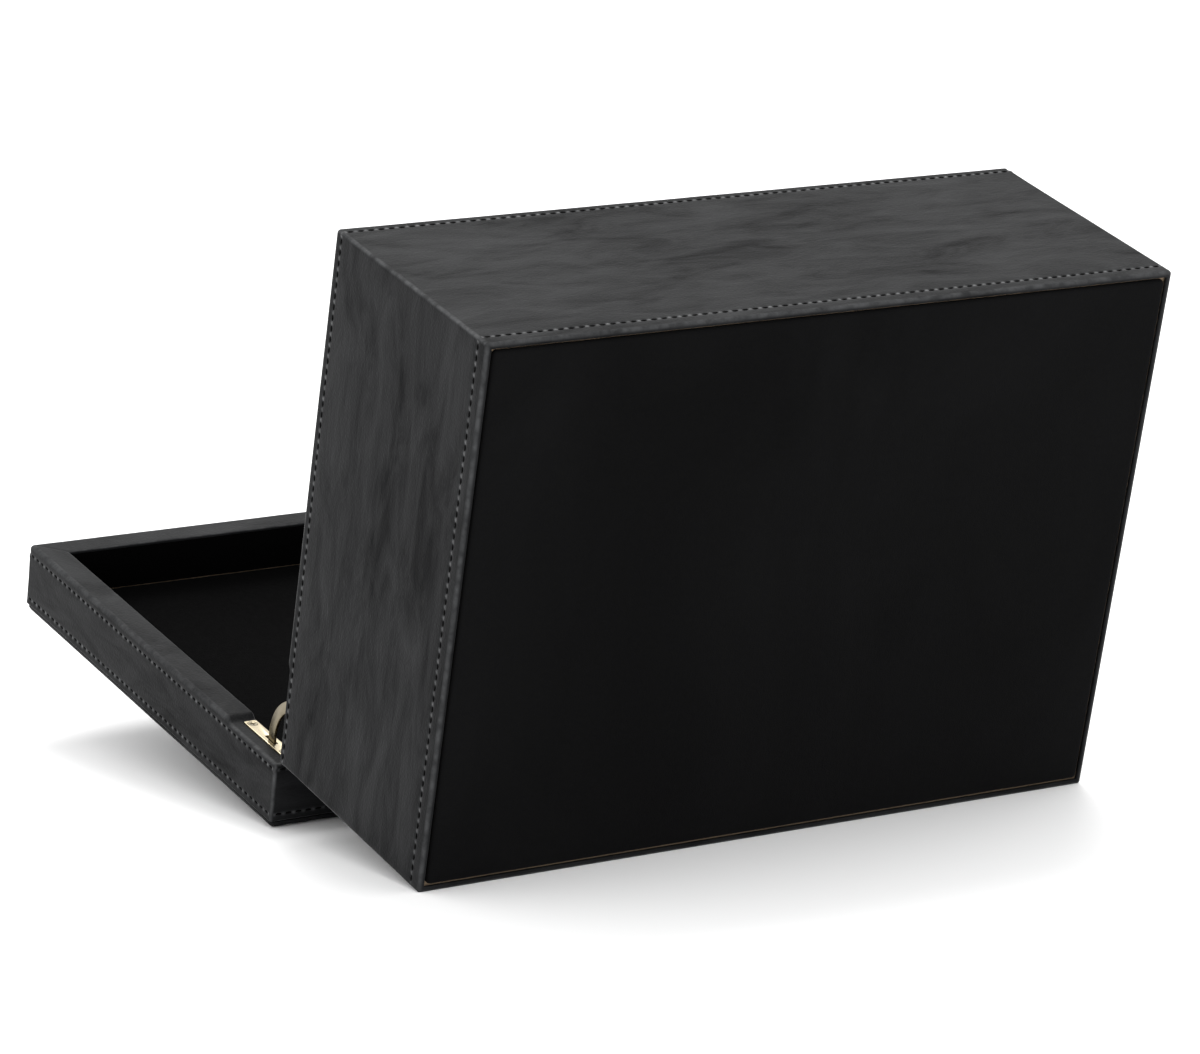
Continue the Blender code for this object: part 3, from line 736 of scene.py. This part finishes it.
def wrap_levels(height, rows, foot_radius, lip):
    """Return a covering's (inset, depth, share of lighter colour, outer) levels, round its section from
    the rim; the lighter colour is painted highlight on the folds, partly also rubbing.
    """
    edge = sizes().turned_edge
    under = sizes().leather + GLUE
    radius = sizes().rim_radius
    outer = [(RIM_WIDTH, under, 0.0)]
    # The folds carry painted highlight along their crests, partly also rubbing: the turned edge inside
    # the rim, the rim's roundover and the foot or seam.
    outer += rub_and_highlight(quarter(RIM_WIDTH - edge, edge, edge, -90.0, 0.0, 3), 0.5)
    outer += [(RIM_WIDTH * share, 0.0, 0.0) for share in RIM_SHARES]
    outer += rub_and_highlight(quarter(radius, radius, radius, 0.0, 90.0, 6), 0.4)
    outer += [(0.0, rows[0] + step, 0.0) for step in ROW_STEPS]
    start, end = rows[0] + ROW_STEPS[-1], rows[1] + ROW_STEPS[0]
    count = max(2, round((end - start) / WALL_STEP))
    outer += [(0.0, start + (end - start) * part / count, 0.0) for part in range(1, count)]
    outer += [(0.0, rows[1] + step, 0.0) for step in ROW_STEPS]
    outer += rub_and_highlight(quarter(foot_radius, height - foot_radius, foot_radius, 90.0, 180.0, 6), 0.55)
    if lip > foot_radius + LEAST_RADIUS:
        outer.append((lip - LEAST_RADIUS, height, 0.0))
        outer.append((lip, height - LEAST_RADIUS, 0.0))
    levels = [(*level, number > 0) for number, level in enumerate(outer)]
    levels += [
        (lip, height - under, 0.0, False),
        (under, height - under, 0.0, False),
        (under, height / 2, 0.0, False),
        (under, under, 0.0, False),
        (RIM_WIDTH, under, 0.0, False),
    ]
    return levels


def draw_wrap(rim, up, height, rows, foot_radius, lip):
    """Draw one folded leather covering; up is the way from its rim to its far edge."""
    corner = sizes().corner
    across, deep = stitch_counts()
    bm = bmesh.new()
    # This layer carries the lighter leather colour: painted highlight on folds, upright corners and
    # between stitches, partly also rubbing.
    wear_and_highlight_layer = bm.verts.layers.float.new("wear_and_highlight")
    layer, ring = start_ring(bm, corner, across * 4, deep * 4)
    levels = wrap_levels(height, rows, foot_radius, lip)

    def place(vert, home, level):
        inset, depth, wear_and_highlight, outer = level
        plan, out = plan_point(home, inset, corner, max(corner - inset, LEAST_RADIUS))
        plan += MIDDLE
        drop = hinge_drop(plan.x, plan.y) * sizes().hinge_drop
        depth += drop * max(0.0, 1.0 - depth / DROP_DEPTH)
        if outer:
            point = Vector((plan.x, plan.y, depth))
            push = ripple(point, RIPPLE_SIZE, sizes().ripple)
            if inset < LEAST_RADIUS:
                more, rubbed_and_highlit = wall_lie(point, home, out, rows)
                wear_and_highlight = max(wear_and_highlight, rubbed_and_highlit)
                plan += out * (push + more)
            elif depth < height / 2:
                crease = mitre_crease(plan) if inset > corner else 0.0
                depth += sizes().ripple - push + MITRE_DEPTH * crease
        vert[wear_and_highlight_layer] = wear_and_highlight
        return Vector((plan.x, plan.y, rim + up * depth))

    sweep(bm, layer, ring, levels, place)
    bmesh.ops.remove_doubles(bm, verts=list(bm.verts), dist=SAME_POINT)
    bm.verts.layers.float_vector.remove(bm.verts.layers.float_vector["home"])
    bmesh.ops.recalc_face_normals(bm, faces=list(bm.faces))
    return bm


def nearby_faces(bm, low, high):
    """Return the faces that reach into a box or come close to it."""
    return [
        face for face in bm.faces
        if all(
            min(vert.co[axis] for vert in face.verts) < high[axis] + POCKET_SURROUND
            and max(vert.co[axis] for vert in face.verts) > low[axis] - POCKET_SURROUND
            for axis in range(3)
        )
    ]


def cut_pockets(bm, body, up):
    """Cut the two pockets that the hinge leaves are let into, through both leather skins."""
    word = "body" if body == "box_body" else "lid"
    bottom, top = sorted((up * POCKET_DEPTH, -up * POCKET_OVER))
    floor = Vector((0.0, 0.0, up * POCKET_DEPTH))
    for side in SIDES:
        low, high = own_box(body, f"hinge_leaf_{word}_{side}")
        low = Vector((low.x - POCKET_SLACK, low.y - POCKET_SLACK, bottom))
        high = Vector((high.x + POCKET_SLACK, high.y + POCKET_BACK, top))
        for corner, axis in ((low, 0), (high, 0), (low, 1), (floor, 2)):
            faces = nearby_faces(bm, low, high)
            edges = list(dict.fromkeys(edge for face in faces for edge in face.edges))
            verts = list(dict.fromkeys(vert for face in faces for vert in face.verts))
            way = Vector((axis == 0, axis == 1, axis == 2))
            bmesh.ops.bisect_plane(
                bm, geom=faces + edges + verts, dist=1e-7, plane_co=corner, plane_no=way
            )
        inside = [
            face for face in bm.faces
            if all(low[axis] < face.calc_center_median()[axis] < high[axis] for axis in range(3))
        ]
        bmesh.ops.delete(bm, geom=inside, context="FACES")
        bmesh.ops.bridge_loops(bm, edges=[edge for edge in bm.edges if edge.is_boundary])
    bmesh.ops.recalc_face_normals(bm, faces=list(bm.faces))


def draw_panel(levels, radius, height, size):
    """Draw a closed crowned panel through (inset, z) levels, with a faint unevenness."""
    corner = sizes().corner
    across = round(HALF_X * 2 / PANEL_STEP)
    deep = round(HALF_Y * 2 / PANEL_STEP)
    bm = bmesh.new()
    layer, ring = start_ring(bm, corner, across, deep)
    first = min(inset for inset, z in levels)

    def place(vert, home, level):
        inset, z = level
        plan, out = plan_point(home, inset, corner, max(radius - (inset - first), LEAST_RADIUS))
        plan += MIDDLE
        fade = smooth_step(inset, first + 0.002, first + 0.008)
        z += ripple(Vector((plan.x, plan.y, 0.0)), size, height) * fade
        return Vector((plan.x, plan.y, z))

    rings = sweep(bm, layer, ring, levels, place)
    for end in (rings[0], rings[-1]):
        bmesh.ops.contextual_create(bm, geom=end)
    bm.verts.layers.float_vector.remove(bm.verts.layers.float_vector["home"])
    bmesh.ops.recalc_face_normals(bm, faces=list(bm.faces))
    return bm


def crown_levels(inset, z, up, crown, reach):
    """Return the (inset, z) levels of a padded face, from its edge to near its middle."""
    levels = []
    last = HALF_Y - PANEL_HEART
    for part in range(1, CROWN_STEPS + 1):
        far = inset + (last - inset) * (part / CROWN_STEPS) ** 1.5
        rise = crown * (1 - (1 - min(1.0, (far - inset) / reach)) ** 2)
        levels.append((far, z + up * rise))
    return levels


def soften(node, name, look, width, segments=2, angle=30.0):
    """Redraw a CAD node's form with rounded edges, and put it in the node's place."""
    source = NODES[node]
    bm = bmesh.new()
    bm.from_mesh(source.data)
    bmesh.ops.remove_doubles(bm, verts=list(bm.verts), dist=2e-6)
    bmesh.ops.dissolve_limit(
        bm, angle_limit=math.radians(1.0), verts=list(bm.verts), edges=list(bm.edges)
    )
    sharp = [
        edge for edge in bm.edges
        if edge.is_manifold and edge.calc_face_angle(0.0) > math.radians(angle)
    ]
    bmesh.ops.bevel(
        bm, geom=sharp, offset=width, offset_type="OFFSET", segments=segments,
        profile=0.5, affect="EDGES", clamp_overlap=True, material=-1,
    )
    bmesh.ops.recalc_face_normals(bm, faces=list(bm.faces))
    return make_piece(name, bm, look, source["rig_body"], (node,), stand=False)


class BodyWrap(bpy.types.Operator):
    """Fold the leather round the body, over its rim and under its foot"""

    bl_idname = "jewellery_box.body_wrap"
    bl_label = "Body leather"

    def execute(self, context):
        height = BODY_HIGH.z - BODY_LOW.z
        rows = (sizes().body_rim_row, height - sizes().body_foot_row)
        bm = draw_wrap(BODY_HIGH.z, -1, height, rows, sizes().foot_radius, sizes().foot_lip)
        nodes = [f"body_leather_{wall}" for wall in WALLS]
        cut_pockets(bm, "box_body", -1)
        make_piece("body_leather_wrap", bm, "body_leather", "box_body", nodes)
        return {"FINISHED"}


class LidWrap(bpy.types.Operator):
    """Fold the leather round the lid's walls and over its rim"""

    bl_idname = "jewellery_box.lid_wrap"
    bl_label = "Lid leather"

    def execute(self, context):
        height = LID_HIGH.z - LID_LOW.z
        rows = (sizes().lid_rim_row, LID_TOP_HIGH.z - sizes().lid_top_row - LID_LOW.z)
        bm = draw_wrap(LID_LOW.z, 1, height, rows, sizes().seam_radius, LID_LIP)
        nodes = [f"lid_leather_{wall}" for wall in WALLS]
        cut_pockets(bm, "lid", 1)
        make_piece("lid_leather_wrap", bm, "lid_leather", "lid", nodes)
        return {"FINISHED"}


class LidTop(bpy.types.Operator):
    """Roll the padded leather top over the lid's foam"""

    bl_idname = "jewellery_box.lid_top"
    bl_label = "Padded lid top"

    def execute(self, context):
        roll = sizes().lid_roll
        seam = LID_TOP_LOW.z
        top = LID_TOP_HIGH.z
        first = math.asin(1 - (top - seam) / roll)
        levels = [(inset, seam) for inset in SEAM_INSETS]
        for step in range(9):
            angle = first + (math.pi / 2 - first) * step / 8
            levels.append((roll * (1 - math.cos(angle)), top - roll * (1 - math.sin(angle))))
        under = len(SEAM_INSETS)
        levels[under] = (levels[under][0] + 2 * SEAM_TUCK, seam + SEAM_TUCK)
        levels += crown_levels(roll, top, 1, sizes().lid_crown, 0.045)
        bm = draw_panel(levels, sizes().corner + 0.0010, sizes().ripple * 1.6, 0.035)
        piece = make_piece(
            "lid_top_padded", bm, "lid_leather", "lid", ("lid_top_leather",)
        )
        return {"FINISHED"}


class Stitches(bpy.types.Operator):
    """Sew the rows of stitches along both edges of the body's and the lid's walls"""

    bl_idname = "jewellery_box.stitches"
    bl_label = "Stitches"

    def execute(self, context):
        rows = (
            ("body_rim_stitches", "box_body", BODY_HIGH.z - sizes().body_rim_row),
            ("body_foot_stitches", "box_body", BODY_LOW.z + sizes().body_foot_row),
            ("lid_rim_stitches", "lid", LID_LOW.z + sizes().lid_rim_row),
            ("lid_top_stitches", "lid", LID_TOP_HIGH.z - sizes().lid_top_row),
        )
        stitch = self.draw_stitch()
        for name, body, z in rows:
            self.sew(name, stitch, body, z)
        bpy.data.meshes.remove(stitch)
        return {"FINISHED"}

    def draw_stitch(self):
        """Draw one stitch along X: a short length of thread whose ends dive into the leather."""
        bm = bmesh.new()
        bmesh.ops.create_uvsphere(bm, u_segments=8, v_segments=7, radius=1.0)
        bmesh.ops.rotate(
            bm, cent=(0, 0, 0), matrix=Matrix.Rotation(math.pi / 2, 3, "Y"), verts=list(bm.verts)
        )
        length = sizes().pitch * sizes().stitch_share / 2
        for vert in bm.verts:
            along = math.copysign(abs(vert.co.x) ** STITCH_BLUNT, vert.co.x)
            dive = STITCH_DIVE * abs(along) ** 4
            vert.co = Vector((along * length, vert.co.y * 0.5 * sizes().thread, 0.0)) + Vector(
                (0.0, 0.0, (vert.co.z * 0.5 - dive) * sizes().thread)
            )
        mesh = bpy.data.meshes.new("stitch")
        bm.to_mesh(mesh)
        bm.free()
        return mesh

    def sew(self, name, stitch, body, z):
        """Sew one row right round the box at height z."""
        corner = sizes().corner
        across, deep = stitch_counts()
        bm = bmesh.new()
        sink = sizes().groove * STITCH_SINK
        sides = (
            (Vector((0, -1, 0)), Vector((1, 0, 0)), HALF_Y, HALF_X - corner, across),
            (Vector((0, 1, 0)), Vector((-1, 0, 0)), HALF_Y, HALF_X - corner, across),
            (Vector((1, 0, 0)), Vector((0, 1, 0)), HALF_X, HALF_Y - corner, deep),
            (Vector((-1, 0, 0)), Vector((0, -1, 0)), HALF_X, HALF_Y - corner, deep),
        )
        middle = Vector((MIDDLE.x, MIDDLE.y, z))
        for out, along, reach, half, count in sides:
            for number in range(count):
                shift = -half + 2 * half * (number + 0.5) / count
                slant = STITCH_SLANT * math.sin(number * 2.399 + reach * 40)
                axis = (along + Vector((0, 0, slant))).normalized()
                frame = Matrix((axis, out.cross(axis), out)).transposed().to_4x4()
                frame.translation = middle + out * (reach - sink) + along * shift
                before = len(bm.verts)
                bm.from_mesh(stitch)
                bm.verts.ensure_lookup_table()
                bmesh.ops.transform(bm, matrix=frame, verts=bm.verts[before:])
        bmesh.ops.recalc_face_normals(bm, faces=list(bm.faces))
        make_piece(name, bm, "thread", body)


class BasePad(bpy.types.Operator):
    """Lay the velvet panel under the body"""

    bl_idname = "jewellery_box.base_pad"
    bl_label = "Velvet base"

    def execute(self, context):
        low, high = own_box("box_body", "base_pad")
        inset = HALF_X + low.x + sizes().pad_gap
        edge = sizes().pad_edge
        levels = [(inset + PAD_FLANGE, high.z), (inset, high.z)]
        for step in range(6):
            angle = math.pi / 2 * step / 5
            levels.append((
                inset + edge * (1 - math.cos(angle)), low.z + edge * (1 - math.sin(angle))
            ))
        levels += crown_levels(inset + edge, low.z, -1, 0.00008, PAD_REACH)
        bm = draw_panel(levels, 0.0016, 0.00007, 0.03)
        piece = make_piece("base_velvet_pad", bm, "base_velvet", "box_body", ("base_pad",))
        return {"FINISHED"}


class FloorPads(bpy.types.Operator):
    """Lay the velvet floors inside the body and the lid"""

    bl_idname = "jewellery_box.floor_pads"
    bl_label = "Velvet floors"

    def execute(self, context):
        for body, word, up in (("box_body", "body", 1), ("lid", "lid", -1)):
            low, high = own_box(body, f"{word}_floor_pad")
            face = high.z if up > 0 else low.z
            under = low.z if up > 0 else high.z
            inset = HALF_X + low.x
            edge = min(sizes().pad_edge, (high.z - low.z) * 0.45)
            levels = [(inset + PAD_FLANGE, under), (inset, under), (inset, face - up * edge)]
            levels += [(inset + edge * 0.3, face - up * edge * 0.3), (inset + edge, face)]
            start = RIM_WIDTH + 0.0003
            levels.append((start, face))
            levels += crown_levels(start, face, up, sizes().pad_crown, PAD_REACH)
            bm = draw_panel(levels, 0.0005, 0.00008, 0.035)
            look = f"{word}_velvet"
            piece = make_piece(
                f"{word}_velvet_floor", bm, look, body, (f"{word}_floor_pad",)
            )
        return {"FINISHED"}


class Linings(bpy.types.Operator):
    """Cover the lining cards in velvet, with soft edges"""

    bl_idname = "jewellery_box.linings"
    bl_label = "Velvet linings"

    def execute(self, context):
        for word in ("body", "lid"):
            for wall in WALLS:
                soften(
                    f"{word}_lining_{wall}", f"{word}_velvet_lining_{wall}", f"{word}_velvet",
                    0.0003,
                )
        return {"FINISHED"}


class Dividers(bpy.types.Operator):
    """Wrap the crossed dividers in velvet"""

    bl_idname = "jewellery_box.dividers"
    bl_label = "Dividers"

    def execute(self, context):
        for word in ("long", "cross"):
            soften(
                f"divider_{word}", f"velvet_divider_{word}", "body_velvet",
                0.0012, 4,
            )
        return {"FINISHED"}


class RingRolls(bpy.types.Operator):
    """Set the padded velvet ring rolls on their foam bed"""

    bl_idname = "jewellery_box.ring_rolls"
    bl_label = "Ring rolls"

    def execute(self, context):
        bed = soften("ring_bed", "ring_foam_bed", "foam", 0.0008, 3)
        for number in range(1, 7):
            low, high = own_box("box_body", f"ring_roll_{number}")
            bm = self.draw_roll((high.y - low.y) / 2, high.x - low.x)
            self.pad_roll(bm, (low + high) / 2, (high.y - low.y) / 2, number)
            piece = make_piece(
                f"velvet_ring_roll_{number}", bm, "body_velvet", "box_body",
                (f"ring_roll_{number}",),
            )
        return {"FINISHED"}

    def draw_roll(self, radius, length):
        """Draw a smooth roll along X with rounded ends."""
        bm = bmesh.new()
        bmesh.ops.create_cone(
            bm, cap_ends=True, cap_tris=False, segments=ROLL_SIDES, radius1=radius, radius2=radius,
            depth=length,
        )
        bmesh.ops.rotate(
            bm, cent=(0, 0, 0), matrix=Matrix.Rotation(math.pi / 2, 3, "Y"), verts=list(bm.verts)
        )
        long_edges = [edge for edge in bm.edges if edge.calc_length() > length / 2]
        bmesh.ops.subdivide_edges(bm, edges=long_edges, cuts=ROLL_RINGS, use_grid_fill=True)
        rims = [
            edge for edge in bm.edges
            if edge.is_manifold and edge.calc_face_angle(0.0) > math.radians(60)
        ]
        bmesh.ops.bevel(
            bm, geom=rims, offset=radius * ROLL_END, offset_type="OFFSET", segments=5,
            profile=0.5, affect="EDGES", clamp_overlap=True, material=-1,
        )
        return bm

    def pad_roll(self, bm, middle, radius, number):
        """Move a roll to its place, uneven as padding is, with a tuck along one side."""
        for vert in bm.verts:
            point = vert.co + middle
            around = math.atan2(vert.co.z, vert.co.y)
            pull = ROLL_PULL * noise.noise(Vector((point.x / 0.012, around * 1.4, number)))
            tuck = ROLL_TUCK * math.exp(-(((around + math.pi / 2) / 0.35) ** 2))
            share = 1 + (pull - tuck) / radius
            vert.co.y *= share
            vert.co.z *= share
            vert.co += middle
        bmesh.ops.recalc_face_normals(bm, faces=list(bm.faces))


class Hinges(bpy.types.Operator):
    """Finish the brass leaves, curved arms, pins and screws with soft edges"""

    bl_idname = "jewellery_box.hinges"
    bl_label = "Hinges"

    def execute(self, context):
        for side in SIDES:
            self.finish(f"hinge_arm_{side}", f"brass_arm_{side}", "arm_brass", "arm")
            self.finish(f"hinge_pin_{side}", f"brass_pin_{side}", "brass", "pin")
            for word in ("body", "lid"):
                leaf = f"leaf_{word}_{side}"
                self.finish(f"hinge_{leaf}", f"brass_{leaf}", "brass", "leaf")
                for number in (1, 2):
                    screw = f"screw_{word}_{side}_{number}"
                    soften(
                        screw, f"brass_{screw}", "screw_brass",
                        HINGE_EDGES["screw"], 1, 40.0,
                    )
        return {"FINISHED"}

    def finish(self, node, name, look, kind):
        """Soften one part of a hinge."""
        soften(node, name, look, HINGE_EDGES[kind])


class HiddenBoards(bpy.types.Operator):
    """Give the boards and foam inside the walls their own finish"""

    bl_idname = "jewellery_box.hidden_boards"
    bl_label = "Boards and foam"

    def execute(self, context):
        for name, node in NODES.items():
            if "board" in name or name == "lid_top_foam":
                node.data.materials.clear()
                node.data.materials.append(look_of("foam" if "foam" in name else "board"))
        return {"FINISHED"}


class Stage(bpy.types.Operator):
    """Set the pale floor, the soft light and the camera"""

    bl_idname = "jewellery_box.stage"
    bl_label = "Floor, light and camera"

    def execute(self, context):
        studio = context.scene.jewellery_studio
        bm = bmesh.new()
        bmesh.ops.create_grid(bm, x_segments=8, y_segments=8, size=FLOOR_REACH)
        mesh = bpy.data.meshes.new("floor")
        bm.to_mesh(mesh)
        bm.free()
        mesh.materials.append(look_of("floor"))
        floor = bpy.data.objects.new("floor", mesh)
        context.scene.collection.objects.link(floor)

        world = bpy.data.worlds.new("even_light")
        world.use_nodes = True
        back = world.node_tree.nodes["Background"]
        back.inputs["Color"].default_value = (1.0, 1.0, 1.0, 1.0)
        back.inputs["Strength"].default_value = studio.sky
        context.scene.world = world

        key = bpy.data.lights.new("overhead_light", "SUN")
        key.energy = studio.key
        key.angle = KEY_WIDTH
        lamp = bpy.data.objects.new("overhead_light", key)
        lamp.rotation_euler = KEY_FROM.to_track_quat("Z", "Y").to_euler()
        context.scene.collection.objects.link(lamp)

        self.set_camera(context, studio)
        context.scene.view_settings.view_transform = "Standard"
        return {"FINISHED"}

    def set_camera(self, context, studio):
        """Look at the box from the studio's angle."""
        level = math.cos(studio.elevation)
        back = Vector((
            math.sin(studio.azimuth) * level,
            -math.cos(studio.azimuth) * level,
            math.sin(studio.elevation),
        ))
        right = Vector((0, 0, 1)).cross(back).normalized()
        up = back.cross(right)
        turn = Matrix((right, up, back)).transposed().to_4x4()
        camera = bpy.data.cameras.new("camera")
        camera.lens = studio.lens
        camera.sensor_width = 36.0
        camera.clip_start = 0.05
        camera.clip_end = 60.0
        view = bpy.data.objects.new("camera", camera)
        place = PIVOT + Vector(studio.target) + back * studio.distance
        view.matrix_world = (
            Matrix.Translation(place) @ turn @ Matrix.Rotation(studio.roll, 4, "Z")
        )
        context.scene.collection.objects.link(view)
        context.scene.camera = view


OPERATORS = (
    BodyWrap, LidWrap, LidTop, Stitches, BasePad, FloorPads, Linings, Dividers, RingRolls,
    Hinges, HiddenBoards, Stage,
)


class BoxPanel(bpy.types.Panel):
    """Lists the steps that dress the box"""

    bl_idname = "VIEW3D_PT_jewellery_box"
    bl_label = "Jewellery Box"
    bl_space_type = "VIEW_3D"
    bl_region_type = "UI"
    bl_category = "Jewellery Box"

    def draw(self, context):
        for operator in OPERATORS:
            self.layout.operator(operator.bl_idname)


GROUPS = (
    ("jewellery_sizes", BoxSizes),
    ("jewellery_colours", BoxColours),
    ("jewellery_studio", StudioSettings),
)


def register():
    """Add the box's settings, steps and panel."""
    for name, group in GROUPS:
        bpy.utils.register_class(group)
        setattr(bpy.types.Scene, name, bpy.props.PointerProperty(type=group))
    for item in (*OPERATORS, BoxPanel):
        bpy.utils.register_class(item)


def unregister():
    """Take the box's settings, steps and panel away."""
    for item in reversed((*OPERATORS, BoxPanel)):
        bpy.utils.unregister_class(item)
    for name, group in reversed(GROUPS):
        delattr(bpy.types.Scene, name)
        bpy.utils.unregister_class(group)


def main():
    """Run every step in order."""
    register()
    for operator in OPERATORS:
        group, name = operator.bl_idname.split(".")
        getattr(getattr(bpy.ops, group), name)()


if __name__ == "__main__":
    main()
